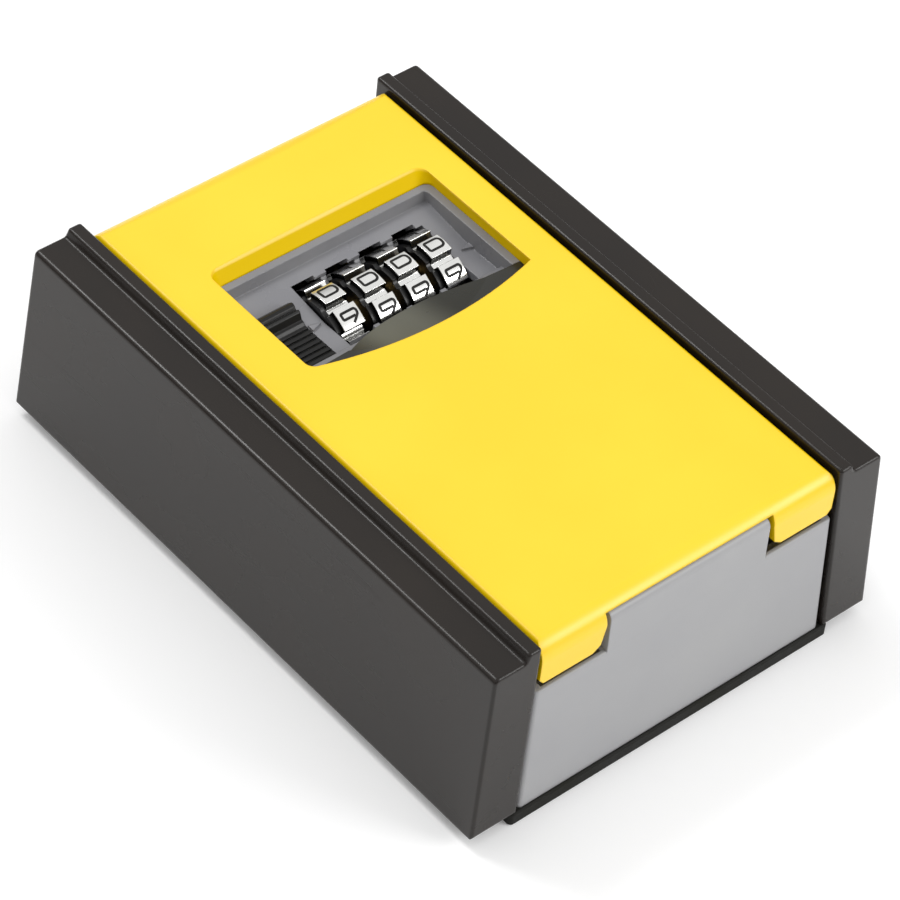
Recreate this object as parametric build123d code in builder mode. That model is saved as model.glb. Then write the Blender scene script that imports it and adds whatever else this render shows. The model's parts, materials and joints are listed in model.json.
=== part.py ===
"""Wall-mounted key lock box with a four-dial combination door, in millimetres.

Frame: the box lies on its back. The origin is the centre of the back pad's rear face,
+Z points out of the wall, +Y towards the top of the box (the dial end), +X to the right
of somebody facing it. The door is hinged at the -Y end and latches at the +Y end.
"""

import os
from math import cos, radians, sin

from build123d import *

os.makedirs("parts", exist_ok=True)

# ---- overall envelope -------------------------------------------------------------
BACK_Z = 2.5  # the casing stands on a pad this thick
RAIL_TOP_Z = 40.4
RAIL_BACK_HALF_X = 45.0  # outer face of a side rail at the back
RAIL_EDGE_HALF_X = 42.95  # the same face at the front ledge
RAIL_LEDGE_Z = 38.8
RAIL_INNER_X = 33.1  # face beside the door
RAIL_RIB_OUTER_X = (35.8, 36.5)  # outer face of the raised rib, at its top and foot
RAIL_BACK_INNER_X = 35.0
RAIL_HOLLOW_X = (37.6, 41.4)  # moulded pockets that open at the back
RAIL_HOLLOW_TOP_Z = 34.0
RAIL_BOSS_R = 4.5
RAIL_END_BACK_Y = 61.95
RAIL_END_TOP_Y = 60.35
RAIL_END_FILLET = 0.55
PAD_SIZE = (72.6, 124.0)
PAD_CORNER_R = 0.8

# ---- casing -----------------------------------------------------------------------
SHELL_TOP_Z = 29.3
SHELL_BACK_HALF = (34.3, 61.45)  # half width and half length at the back
SHELL_TOP_HALF = (33.2, 60.35)  # and at the parting line with the door
CAVITY_HALF_X = 30.0
CAVITY_NEAR_Y = -56.4
CAVITY_FAR_Y = 57.3
CAVITY_FLOOR_Z = 6.0
WALL_HOLE_SPACING = (40.0, 90.0)
WALL_HOLE_R = 2.6
RAIL_SCREW_Y = 40.0
RAIL_SCREW_Z = 10.0
RAIL_SCREW_R = 1.5
RAIL_SCREW_HEAD_R = 2.8
RAIL_SCREW_HEAD_X = CAVITY_HALF_X - 1.6
RAIL_SCREW_END_X = 41.0
RAIL_SCREW_HOLE_R = 1.6
STRIKE_X = (-25.0, -11.0)  # the lip that the latch hooks under
STRIKE_Y = 54.2
STRIKE_Z = (25.3, SHELL_TOP_Z)

# ---- hinge ------------------------------------------------------------------------
HINGE_Y, HINGE_Z = -57.8, 35.7
KNUCKLE_TOP_Z = 37.9
KNUCKLE_BACK_Y = -55.4
KNUCKLE_HALF_X = 17.7
TAB_INNER_X = 18.6  # the door's two hinge tabs start here
TAB_CLEAR_Z = 38.3  # underside of the door's face above the knuckle
SWING_POCKET_X = (18.4, 31.4)  # hollow in the near wall where a tab swings down
SWING_POCKET_Y = (-59.5, -56.0)
SWING_POCKET_Z = 26.0
PIN_R = 1.2
PIN_HALF_X = 31.8
PRESS_GAP = 0.02  # radial clearance of a pressed pin
RUNNING_GAP = 0.06  # radial clearance of a turning pin

# ---- door -------------------------------------------------------------------------
DOOR_HALF_X = 32.6
DOOR_NEAR_Y = -60.25
DOOR_FAR_Y = 59.0
DOOR_TOP_Z = 39.9
DOOR_CROWN = 0.35  # the face is this much lower along its long edges
DOOR_RIM_Z = 29.8
DOOR_SKIN_Z = 37.4  # underside of the face
TAB_BOTTOM_Z = 30.7
TAB_BACK_Y = -52.5
TAB_CUT = ((2.7, 0.0), (0.8, 1.3), (0.0, 5.3))  # inner corner: inset and height
TAB_OUTER_CUT = (1.1, 1.3)  # outer corner: width and height
DOOR_EAR_R = 2.6
DOOR_PILOT_R = 1.27

# ---- window through the door --------------------------------------------------------
WINDOW_X = (-23.0, 25.0)
WINDOW_FAR_Y = 36.1
WINDOW_FAR_TOP_Y = 38.6  # the far rim leans outwards
WINDOW_ARC = ((-23.0, 10.4), (2.0, 5.9), (25.0, 8.9))

# ---- dial row -----------------------------------------------------------------------
DIAL_Y, DIAL_Z = 24.2, 26.8
DIAL_PITCH = 7.5
DIAL_X = [-6.55 + DIAL_PITCH * i for i in range(4)]
DIAL_REST = [-7.5, 2.6, 2.6, 2.6]  # lean of each zero plate towards the hinge, degrees
DIAL_HALF_WIDTH = 3.0
RING_X = (-2.02, 2.55)  # the number ring covers this part of the wheel's width
PLATE_R = 9.5
PLATE_HALF_LENGTH = 2.02
VALLEY_R = 7.9
RING_BORE_R = 7.2
FLANGE_R = 8.5
DIGITS = 10
SLOT_X = (-3.25, 1.65, 3.05)  # left edge, step and right edge from the dial's centre
SLOT_R = (10.68, 9.9)  # left and right of the step
WEB_GAP_Y = (16.5, 30.8)  # the webs between the slots are cut away here
SPINDLE_R = 1.5
SLEEVE_R = 2.9
GATE_DISC_R = 5.0
GATE_DISC_X = (-4.15, -3.35)  # from the wheel's centre
GATE_BOTTOM = 2.0

# ---- bezel --------------------------------------------------------------------------
BEZEL_X = (-28.0, 27.0)
BEZEL_Y = (3.5, 37.5)
BEZEL_BOTTOM_Z = 32.2
WELL_X = (-22.4, 23.3)
WELL_FAR_Y = 34.6
LEDGE_Y = 14.0
EAR_POINTS = ((-20.0, 0.0), (20.0, 0.0), (-20.0, 41.5), (20.0, 41.5))
EAR_TOP_Z = 34.0
POST_POINTS = ((-25.6, 14.0), (-25.6, 33.0), (24.6, 14.0), (24.6, 33.0))
POST_R = 2.3
POST_PILOT_R = 1.1
POST_PILOT_TOP_Z = 24.0
SCOOP_TIPS = ((-12.7, 11.6), (17.6, 11.9))
SCOOP_FAR = (3.0, 15.6)
SCOOP_NEAR = (2.0, 4.4)
SCOOP_ENDS = ((-23.5, 11.2), (25.6, 11.3))
SCOOP_Z = (34.3, 37.3)
BOWL_CENTRE = (2.0, 36.1, 119.0)
BOWL_R = 86.7

# ---- lock back ------------------------------------------------------------------------
PLATE_Z = (15.2, 16.4)
PLATE_X = (-28.2, 27.4)
PLATE_Y = (6.5, 40.5)
CHEEK_LEFT_X = (-12.4, -11.1)
CHEEK_RIGHT_X = (19.4, 20.9)
CHEEK_Y = (12.4, 35.5)

# ---- opening slide and latch ------------------------------------------------------------
SLIDE_TRAVEL = 3.0
SLIDE_X = (-22.1, -13.2)
SLIDE_Y = (12.3, 28.0)
SLIDE_BASE_X = (-22.7, -12.9)
SLIDE_BASE_Y = (9.5, 33.0)
LATCH_Z = (26.0, 27.6)
LATCH_X = (-21.7, -13.5)
LATCH_TIP_Y = 56.8
TONGUE_Z = (23.3, 24.9)
TONGUE_SLANT = (2.6, 1.1)  # length and drop of the slanted tip
FENCE_Y = (38.8, 41.0)
FINGER_TIP_Y = 29.4
FINGER_X = (-4.35, -3.4)  # from the wheel's centre
GUIDE_Z = (24.2, 25.9)
SPRING_X = (LATCH_X[0] + LATCH_X[1]) / 2
SPRING_Z = 21.9
SPRING_Y = (8.6, 19.4)
SPRING_COIL_R = 1.9
SPRING_WIRE_R = 0.2

LEVER_POINT = (5.0, 10.5)
LEVER_R = 1.5


def save(part, label):
    """Name a finished piece and write it out."""
    part.label = label
    export_step(part, f"parts/{label}.step")


def box_between(xs, ys, zs, mode=Mode.ADD):
    """A box given by its two limits along each axis."""
    size = [high - low for low, high in (xs, ys, zs)]
    middle = [(high + low) / 2 for low, high in (xs, ys, zs)]
    with Locations(tuple(middle)):
        Box(*size, mode=mode)


def rod_along_x(radius, xs, y, z, mode=Mode.ADD):
    """A round bar, or a bore, that runs along X."""
    with Locations(((xs[0] + xs[1]) / 2, y, z)):
        Cylinder(radius, xs[1] - xs[0], rotation=(0, 90, 0), mode=mode)


def rod_along_z(radius, zs, points, mode=Mode.ADD):
    """Round bars, or bores, that run along Z at each point."""
    with Locations(*[(x, y, (zs[0] + zs[1]) / 2) for x, y in points]):
        Cylinder(radius, zs[1] - zs[0], mode=mode)


def screws_along_z(points, head_r, head_z, shank_r, shank_z):
    """A set of equal screws whose heads point towards the wall."""
    with BuildPart() as screws:
        rod_along_z(head_r, head_z, points)
        rod_along_z(shank_r, shank_z, points)
        with Locations(*[(x, y, head_z[0]) for x, y in points]):
            Cylinder(
                head_r * 0.45,
                (head_z[1] - head_z[0]) * 0.9,
                align=(Align.CENTER, Align.CENTER, Align.CENTER),
                mode=Mode.SUBTRACT,
            )
    return screws.part


# =====================================================================================
# Casing
# =====================================================================================
def make_shell_block():
    """The casing's outer form, drafted on all four sides."""
    with BuildPart() as block:
        with BuildSketch(Plane.XZ):
            Polygon(
                (-SHELL_BACK_HALF[0], BACK_Z),
                (SHELL_BACK_HALF[0], BACK_Z),
                (SHELL_TOP_HALF[0], SHELL_TOP_Z),
                (-SHELL_TOP_HALF[0], SHELL_TOP_Z),
                align=None,
            )
        extrude(amount=SHELL_BACK_HALF[1] + 1, both=True)
        with BuildSketch(Plane.YZ):
            Polygon(
                (-SHELL_BACK_HALF[1], BACK_Z),
                (SHELL_BACK_HALF[1], BACK_Z),
                (SHELL_TOP_HALF[1], SHELL_TOP_Z),
                (-SHELL_TOP_HALF[1], SHELL_TOP_Z),
                align=None,
            )
        extrude(amount=SHELL_BACK_HALF[0] + 1, both=True, mode=Mode.INTERSECT)
    return block.part


def make_body_shell():
    """Cast tray that holds the keys, with the middle hinge knuckle and the latch strike."""
    knuckle_foot_z = 28.0
    near_face = (-60.38, -60.1)  # the knuckle's flat front, at its foot and at its top
    with BuildPart() as shell:
        add(make_shell_block())
        corners = shell.edges().filter_by(
            lambda e: abs(e.center().X) > 30 and abs(e.center().Y) > 55 and e.length > 20
        )
        fillet(corners.filter_by(lambda e: abs(e.center().Z - 16) < 3), radius=0.9)
        top_edges = shell.faces().sort_by(Axis.Z)[-1].edges()
        fillet(top_edges, radius=0.4)
        box_between(
            (-CAVITY_HALF_X, CAVITY_HALF_X),
            (CAVITY_NEAR_Y, CAVITY_FAR_Y),
            (CAVITY_FLOOR_Z, SHELL_TOP_Z + 1),
            mode=Mode.SUBTRACT,
        )
        for side in (-1, 1):
            pocket = sorted((side * SWING_POCKET_X[0], side * SWING_POCKET_X[1]))
            top = (SWING_POCKET_Z, SHELL_TOP_Z + 1)
            box_between(pocket, SWING_POCKET_Y, top, mode=Mode.SUBTRACT)
        with BuildSketch(Plane.YZ) as knuckle:
            Polygon(
                (near_face[0], knuckle_foot_z),
                (near_face[1], KNUCKLE_TOP_Z),
                (KNUCKLE_BACK_Y, KNUCKLE_TOP_Z),
                (KNUCKLE_BACK_Y, knuckle_foot_z + 2),
                (CAVITY_NEAR_Y, knuckle_foot_z),
                align=None,
            )
            for y, radius in ((near_face[1], 1.6), (KNUCKLE_BACK_Y, 2.0)):
                corner = knuckle.vertices().sort_by_distance((y, KNUCKLE_TOP_Z, 0))[0]
                fillet(corner, radius=radius)
        extrude(amount=KNUCKLE_HALF_X, both=True)
        with BuildSketch(Plane.YZ.offset(STRIKE_X[0])):
            Polygon(
                (CAVITY_FAR_Y + 0.5, STRIKE_Z[0]),
                (STRIKE_Y + 0.8, STRIKE_Z[0]),
                (STRIKE_Y, STRIKE_Z[0] + 1.4),
                (STRIKE_Y, STRIKE_Z[1]),
                (CAVITY_FAR_Y + 0.5, STRIKE_Z[1]),
                align=None,
            )
        extrude(amount=STRIKE_X[1] - STRIKE_X[0])
        rod_along_x(
            PIN_R + PRESS_GAP,
            (-KNUCKLE_HALF_X - 1, KNUCKLE_HALF_X + 1),
            HINGE_Y,
            HINGE_Z,
            mode=Mode.SUBTRACT,
        )
        with Locations((0, 0, CAVITY_FLOOR_Z)):
            with GridLocations(*WALL_HOLE_SPACING, 2, 2):
                CounterSinkHole(WALL_HOLE_R, 4.0)
        for side in (-1, 1):
            for y in (-RAIL_SCREW_Y, RAIL_SCREW_Y):
                span = sorted((side * (CAVITY_HALF_X - 1), side * (CAVITY_HALF_X + 6)))
                rod_along_x(RAIL_SCREW_HOLE_R, span, y, RAIL_SCREW_Z, mode=Mode.SUBTRACT)
    save(shell.part, "body_shell")


def make_side_rail(side, label):
    """Black guard rail along one side, with a raised rib beside the door."""
    screw_points = (-RAIL_SCREW_Y, RAIL_SCREW_Y)
    boss_x = (32.0, 36.0)
    pockets = ((-57, -46), (-34, -4), (4, 34), (46, 57))
    with BuildPart() as rail:
        with BuildSketch(Plane.XZ) as section:
            Polygon(
                (side * RAIL_BACK_INNER_X, BACK_Z),
                (side * RAIL_BACK_HALF_X, BACK_Z),
                (side * RAIL_EDGE_HALF_X, RAIL_LEDGE_Z),
                (side * RAIL_RIB_OUTER_X[1], RAIL_LEDGE_Z),
                (side * RAIL_RIB_OUTER_X[0], RAIL_TOP_Z),
                (side * RAIL_INNER_X, RAIL_TOP_Z),
                align=None,
            )
            outer = section.vertices().filter_by(
                lambda v: abs(abs(v.X) - RAIL_EDGE_HALF_X) < 0.1
            )
            fillet(outer, radius=1.0)
            step = section.vertices().filter_by(
                lambda v: abs(abs(v.X) - RAIL_RIB_OUTER_X[1]) < 0.1
            )
            fillet(step, radius=0.6)
            rib = section.vertices().filter_by(lambda v: abs(v.Y - RAIL_TOP_Z) < 0.1)
            fillet(rib, radius=0.6)
        extrude(amount=RAIL_END_BACK_Y + 1, both=True)
        with BuildSketch(Plane.YZ):
            Polygon(
                (-RAIL_END_BACK_Y, BACK_Z),
                (RAIL_END_BACK_Y, BACK_Z),
                (RAIL_END_TOP_Y, RAIL_TOP_Z),
                (-RAIL_END_TOP_Y, RAIL_TOP_Z),
                align=None,
            )
        extrude(amount=RAIL_BACK_HALF_X + 1, both=True, mode=Mode.INTERSECT)
        ends = rail.faces().sort_by(Axis.Y)
        fillet(ends[0].edges() + ends[-1].edges(), radius=RAIL_END_FILLET)
        for low, high in pockets:
            span = sorted(side * x for x in RAIL_HOLLOW_X)
            box_between(span, (low, high), (BACK_Z, RAIL_HOLLOW_TOP_Z), mode=Mode.SUBTRACT)
        for y in screw_points:
            boss = sorted((side * boss_x[0], side * boss_x[1]))
            rod_along_x(RAIL_BOSS_R, boss, y, RAIL_SCREW_Z)
        add(make_shell_block(), mode=Mode.SUBTRACT)
        for y in screw_points:
            bore = sorted((side * boss_x[0], side * (RAIL_SCREW_END_X + 0.2)))
            rod_along_x(RAIL_SCREW_R + PRESS_GAP, bore, y, RAIL_SCREW_Z, mode=Mode.SUBTRACT)
    save(rail.part, label)


def make_rail_screws():
    """Four screws that hold the rails, driven from inside the tray."""
    socket_r, socket_depth = 1.2, 0.9
    with BuildPart() as screws:
        for side in (-1, 1):
            for y in (-RAIL_SCREW_Y, RAIL_SCREW_Y):
                head = sorted((side * RAIL_SCREW_HEAD_X, side * CAVITY_HALF_X))
                shank = sorted((side * CAVITY_HALF_X, side * RAIL_SCREW_END_X))
                socket_end = RAIL_SCREW_HEAD_X + socket_depth
                socket = sorted((side * (RAIL_SCREW_HEAD_X - 0.1), side * socket_end))
                rod_along_x(RAIL_SCREW_HEAD_R, head, y, RAIL_SCREW_Z)
                rod_along_x(RAIL_SCREW_R, shank, y, RAIL_SCREW_Z)
                rod_along_x(socket_r, socket, y, RAIL_SCREW_Z, mode=Mode.SUBTRACT)
    save(screws.part, "rail_screws")


def make_back_pad():
    """Rubber pad between the casing and the wall."""
    with BuildPart() as pad:
        with BuildSketch():
            RectangleRounded(*PAD_SIZE, PAD_CORNER_R)
            with GridLocations(*WALL_HOLE_SPACING, 2, 2):
                Circle(WALL_HOLE_R + 0.4, mode=Mode.SUBTRACT)
        extrude(amount=BACK_Z)
        fillet(pad.faces().sort_by(Axis.Z)[-1].outer_wire().edges(), radius=0.4)
    save(pad.part, "back_pad")


def make_hinge_pin():
    """Steel pin pressed into the knuckle."""
    with BuildPart() as pin:
        rod_along_x(PIN_R, (-PIN_HALF_X, PIN_HALF_X), HINGE_Y, HINGE_Z)
        chamfer(pin.edges(), length=0.3)
    save(pin.part, "hinge_pin")


# =====================================================================================
# Door
# =====================================================================================
def window_prism(far_y, zs):
    """The window's outline as a prism, with its far edge at far_y."""
    with BuildPart() as prism:
        with BuildSketch(Plane.XY.offset(zs[0])) as outline:
            with BuildLine():
                left, low, right = WINDOW_ARC
                ThreePointArc(left, low, right)
                Line(right, (right[0], far_y))
                Line((right[0], far_y), (left[0], far_y))
                Line((left[0], far_y), left)
            make_face()
            fillet(outline.vertices().group_by(Axis.Y)[-1], radius=1.6)
            fillet(outline.vertices().sort_by_distance((*WINDOW_ARC[0], 0))[0], radius=2.0)
        extrude(amount=zs[1] - zs[0])
    return prism.part


def leaning_rim():
    """The window's far rim, which leans outwards towards the front."""
    width = WINDOW_X[1] - WINDOW_X[0]
    middle = (WINDOW_X[0] + WINDOW_X[1]) / 2
    start_y = 24.0
    with BuildPart() as rim:
        for z, far_y in ((DOOR_SKIN_Z - 0.4, 35.7), (DOOR_TOP_Z + 0.2, WINDOW_FAR_TOP_Y + 0.2)):
            with BuildSketch(Plane.XY.offset(z)):
                with Locations((middle, (start_y + far_y) / 2)):
                    RectangleRounded(width, far_y - start_y, 2.2)
        loft()
    return rim.part


def make_door_cover():
    """Yellow door: a shallow cast lid with two hinge tabs and the dial window."""
    skirt_z = 25.0
    edge_z = DOOR_TOP_Z - DOOR_CROWN
    wall = 2.3
    with BuildPart() as door:
        with BuildSketch(Plane.XZ) as front:
            with BuildLine():
                Line((-DOOR_HALF_X, skirt_z), (-DOOR_HALF_X, edge_z))
                ThreePointArc((-DOOR_HALF_X, edge_z), (0, DOOR_TOP_Z), (DOOR_HALF_X, edge_z))
                Line((DOOR_HALF_X, edge_z), (DOOR_HALF_X, skirt_z))
                Line((DOOR_HALF_X, skirt_z), (-DOOR_HALF_X, skirt_z))
            make_face()
            fillet(front.vertices().group_by(Axis.Y)[-1], radius=1.1)
        extrude(amount=DOOR_FAR_Y + 3, both=True)
        with BuildSketch(Plane.YZ) as profile:
            Polygon(
                (DOOR_NEAR_Y, TAB_BOTTOM_Z),
                (DOOR_NEAR_Y, DOOR_TOP_Z),
                (DOOR_FAR_Y, DOOR_TOP_Z),
                (DOOR_FAR_Y + 0.4, DOOR_RIM_Z),
                (TAB_BACK_Y, DOOR_RIM_Z),
                (TAB_BACK_Y, TAB_BOTTOM_Z),
                align=None,
            )
            for corner, radius in (
                ((DOOR_NEAR_Y, DOOR_TOP_Z), 4.0),
                ((DOOR_NEAR_Y, TAB_BOTTOM_Z), 0.3),
                ((DOOR_FAR_Y, DOOR_TOP_Z), 4.8),
            ):
                fillet(profile.vertices().sort_by_distance((*corner, 0))[0], radius=radius)
        extrude(amount=DOOR_HALF_X + 1, both=True, mode=Mode.INTERSECT)
        box_between(
            (-DOOR_HALF_X + wall, DOOR_HALF_X - wall),
            (TAB_BACK_Y, DOOR_FAR_Y - 2.6),
            (skirt_z, DOOR_SKIN_Z),
            mode=Mode.SUBTRACT,
        )
        box_between(
            (-TAB_INNER_X, TAB_INNER_X),
            (DOOR_NEAR_Y - 1, TAB_BACK_Y + 0.1),
            (skirt_z, TAB_CLEAR_Z),
            mode=Mode.SUBTRACT,
        )
        for side in (-1, 1):
            slant = [(side * (TAB_INNER_X + x), TAB_BOTTOM_Z + z) for x, z in TAB_CUT]
            behind = side * (TAB_INNER_X - 1)
            outside = side * DOOR_HALF_X
            width, height = TAB_OUTER_CUT
            with BuildSketch(Plane.XZ.offset(-TAB_BACK_Y)):
                Polygon((behind, slant[0][1]), *slant, (behind, slant[-1][1]), align=None)
                Polygon(
                    (outside - side * width, TAB_BOTTOM_Z),
                    (outside, TAB_BOTTOM_Z),
                    (outside, TAB_BOTTOM_Z + height),
                    align=None,
                )
            extrude(amount=TAB_BACK_Y - DOOR_NEAR_Y + 2, mode=Mode.SUBTRACT)
        rod_along_x(
            PIN_R + RUNNING_GAP,
            (-DOOR_HALF_X - 1, DOOR_HALF_X + 1),
            HINGE_Y,
            HINGE_Z,
            mode=Mode.SUBTRACT,
        )
        rod_along_z(DOOR_EAR_R, (EAR_TOP_Z, DOOR_SKIN_Z + 0.2), EAR_POINTS)
        pilot_z = (EAR_TOP_Z - 1, DOOR_SKIN_Z - 0.4)
        rod_along_z(DOOR_PILOT_R, pilot_z, EAR_POINTS, mode=Mode.SUBTRACT)
        add(window_prism(WINDOW_FAR_Y, (skirt_z, DOOR_TOP_Z + 1)), mode=Mode.SUBTRACT)
        add(leaning_rim(), mode=Mode.SUBTRACT)
    save(door.part, "door_cover")


# =====================================================================================
# Dial bezel, finger scoop and the lock's frame
# =====================================================================================
def scoop_outline(zs):
    """The scoop insert's outline as a prism: a lens between two narrow lands."""
    left, right = SCOOP_ENDS
    near_y = 7.6
    with BuildPart() as prism:
        with BuildSketch(Plane.XY.offset(zs[0])):
            with BuildLine():
                Line(left, SCOOP_TIPS[0])
                ThreePointArc(SCOOP_TIPS[0], SCOOP_FAR, SCOOP_TIPS[1])
                Line(SCOOP_TIPS[1], right)
                Line(right, (right[0], near_y))
                ThreePointArc((right[0], near_y), SCOOP_NEAR, (left[0], near_y))
                Line((left[0], near_y), left)
            make_face()
        extrude(amount=zs[1] - zs[0])
    return prism.part


def well_tool():
    """The hollow in the bezel that shows the dials: a floor that dips to the index line."""
    floor = ((WELL_FAR_Y + 0.6, 39.0), (WELL_FAR_Y, 37.0), (34.2, 35.2), (22.0, 33.6))
    near = ((LEDGE_Y, 33.9), (LEDGE_Y, 35.0), (4.0, 37.3), (4.0, 39.0))
    width = WELL_X[1] - WELL_X[0]
    with BuildPart() as tool:
        with BuildSketch(Plane.YZ.offset(WELL_X[0])):
            Polygon(*floor, *near, align=None)
        extrude(amount=width)
        with BuildSketch(Plane.XY.offset(30)):
            with Locations(((WELL_X[0] + WELL_X[1]) / 2, (WELL_FAR_Y + 0.6) / 2)):
                RectangleRounded(width, WELL_FAR_Y + 0.6, 1.8)
        extrude(amount=10, mode=Mode.INTERSECT)
    return tool.part


def index_mark(x_tip, x_base):
    """A small raised arrow on the floor beside the dial row."""
    with BuildPart() as mark:
        with BuildSketch(Plane.XY.offset(33.2)):
            Polygon((x_tip, 22.0), (x_base, 21.3), (x_base, 22.7), align=None)
        extrude(amount=0.9)
    return mark.part


def make_dial_bezel():
    """Grey casting behind the window, with a slot for each dial and one for the slide."""
    ear, ear_hole_r = 2.8, 1.3
    with BuildPart() as bezel:
        box_between(BEZEL_X, BEZEL_Y, (BEZEL_BOTTOM_Z, DOOR_SKIN_Z))
        for x, y in EAR_POINTS:
            near = y < BEZEL_Y[0]
            ends = (y - ear, BEZEL_Y[0]) if near else (BEZEL_Y[1], y + ear)
            box_between((x - ear, x + ear), ends, (BEZEL_BOTTOM_Z, EAR_TOP_Z))
        through_ears = (BEZEL_BOTTOM_Z - 1, EAR_TOP_Z + 1)
        rod_along_z(ear_hole_r, through_ears, EAR_POINTS, mode=Mode.SUBTRACT)
        rod_along_z(POST_R, (PLATE_Z[1], BEZEL_BOTTOM_Z), POST_POINTS)
        pilot_z = (PLATE_Z[1] - 1, POST_PILOT_TOP_Z)
        rod_along_z(POST_PILOT_R, pilot_z, POST_POINTS, mode=Mode.SUBTRACT)
        add(well_tool(), mode=Mode.SUBTRACT)
        left, step, right = SLOT_X
        for x in DIAL_X:
            for span, radius in (((x + left, x + step), SLOT_R[0]), ((x + step, x + right), SLOT_R[1])):
                rod_along_x(radius, span, DIAL_Y, DIAL_Z, mode=Mode.SUBTRACT)
            whole = (x + left, x + right)
            box_between(whole, (LEDGE_Y + 0.6, DIAL_Y), (30.0, 36.0), mode=Mode.SUBTRACT)
        with BuildSketch(Plane.YZ.offset(DIAL_X[0])):
            Polygon(
                (WEB_GAP_Y[0], 30.0),
                (WEB_GAP_Y[0], 36.0),
                (WEB_GAP_Y[1], 36.0),
                (WEB_GAP_Y[1], 33.9),
                (WEB_GAP_Y[1] - 2.0, 32.0),
                (WEB_GAP_Y[1] - 2.0, 30.0),
                align=None,
            )
        extrude(amount=DIAL_X[-1] - DIAL_X[0], mode=Mode.SUBTRACT)
        channel = (SLIDE_X[0] - 0.2, SLIDE_X[1] + 0.2)
        far = SLIDE_Y[1] + 0.3
        box_between(channel, (LEDGE_Y, far), (30.0, 38.0), mode=Mode.SUBTRACT)
        box_between(
            channel,
            (SLIDE_Y[0] - SLIDE_TRAVEL - 0.3, far),
            (30.0, 34.2),
            mode=Mode.SUBTRACT,
        )
        add(index_mark(-10.6, -12.9))
        add(index_mark(21.2, 23.4))
        add(scoop_outline((SCOOP_Z[0], 39.0)), mode=Mode.SUBTRACT)
    save(bezel.part, "dial_bezel")


def make_window_scoop():
    """Black dished insert that lets a fingertip reach the dials."""
    with BuildPart() as scoop:
        add(scoop_outline(SCOOP_Z))
        with Locations(BOWL_CENTRE):
            Sphere(BOWL_R, mode=Mode.SUBTRACT)
    save(scoop.part, "window_scoop")


def make_lock_frame():
    """Frame behind the bezel: two cheeks for the spindle and a guide for the latch."""
    guide_x = (-22.9, CHEEK_LEFT_X[0])
    guide_slot = (SPRING_X - 2.65, SPRING_X + 2.65)
    with BuildPart() as frame:
        for cheek in (CHEEK_LEFT_X, CHEEK_RIGHT_X):
            box_between(cheek, CHEEK_Y, (PLATE_Z[1], BEZEL_BOTTOM_Z))
        near_wall = (CHEEK_Y[0], CHEEK_Y[0] + 1.8)
        box_between((CHEEK_LEFT_X[0], CHEEK_RIGHT_X[1]), near_wall, (PLATE_Z[1], 30.0))
        box_between(guide_x, (SPRING_Y[0] - 1.4, CHEEK_Y[1]), GUIDE_Z)
        box_between(guide_slot, (SPRING_Y[0], 33.6), (23.0, 27.0), mode=Mode.SUBTRACT)
        box_between(guide_x, (SPRING_Y[0] - 1.4, SPRING_Y[0]), (19.0, GUIDE_Z[1]))
        bore = (CHEEK_LEFT_X[0] - 1, CHEEK_RIGHT_X[1] + 1)
        rod_along_x(SPINDLE_R + PRESS_GAP, bore, DIAL_Y, DIAL_Z, mode=Mode.SUBTRACT)
    save(frame.part, "lock_frame")


def make_lock_back_plate():
    """Steel plate that closes the lock on the key side."""
    width, length = PLATE_X[1] - PLATE_X[0], PLATE_Y[1] - PLATE_Y[0]
    with BuildPart() as plate:
        with BuildSketch(Plane.XY.offset(PLATE_Z[0])):
            with Locations(((PLATE_X[0] + PLATE_X[1]) / 2, (PLATE_Y[0] + PLATE_Y[1]) / 2)):
                RectangleRounded(width, length, 2.0)
            with Locations(*POST_POINTS):
                Circle(1.2, mode=Mode.SUBTRACT)
            with Locations(LEVER_POINT):
                Circle(LEVER_R + RUNNING_GAP, mode=Mode.SUBTRACT)
        extrude(amount=PLATE_Z[1] - PLATE_Z[0])
    save(plate.part, "lock_back_plate")


def make_lock_fasteners():
    """Screws of the bezel and of the back plate."""
    bezel_head = (BEZEL_BOTTOM_Z - 1.6, BEZEL_BOTTOM_Z)
    bezel = screws_along_z(EAR_POINTS, 2.2, bezel_head, 1.25, (BEZEL_BOTTOM_Z, 36.8))
    save(bezel, "bezel_screws")
    plate_head = (PLATE_Z[0] - 1.4, PLATE_Z[0])
    plate = screws_along_z(POST_POINTS, 2.1, plate_head, 1.08, (PLATE_Z[0], 23.0))
    save(plate, "back_plate_screws")


def make_spindle():
    """Spindle that carries the dials, its clip, and the leaf spring that clicks them."""
    clip_x = (21.0, 21.6)
    with BuildPart() as spindle:
        rod_along_x(SPINDLE_R, (CHEEK_LEFT_X[0], 22.0), DIAL_Y, DIAL_Z)
        rod_along_x(SPINDLE_R + 1, clip_x, DIAL_Y, DIAL_Z, mode=Mode.SUBTRACT)
        rod_along_x(SPINDLE_R - 0.4, clip_x, DIAL_Y, DIAL_Z)
    save(spindle.part, "dial_spindle")

    with BuildPart() as clip:
        rod_along_x(2.8, clip_x, DIAL_Y, DIAL_Z)
        rod_along_x(SPINDLE_R - 0.4, clip_x, DIAL_Y, DIAL_Z, mode=Mode.SUBTRACT)
        box_between(clip_x, (DIAL_Y - 1.0, DIAL_Y + 1.0), (20.0, DIAL_Z), mode=Mode.SUBTRACT)
    save(clip.part, "spindle_clip")

    leaf_z = (PLATE_Z[1], PLATE_Z[1] + 0.3)
    nose_r = 0.25
    with BuildPart() as leaf:
        box_between((-10.0, 18.8), (17.0, 19.5), leaf_z)
        for x in DIAL_X:
            box_between((x - 1.5, x + 2.0), (19.5, 29.0), leaf_z)
            rod_along_x(nose_r, (x - 1.5, x + 2.0), DIAL_Y, leaf_z[0] + nose_r)
    save(leaf.part, "detent_spring")


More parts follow.
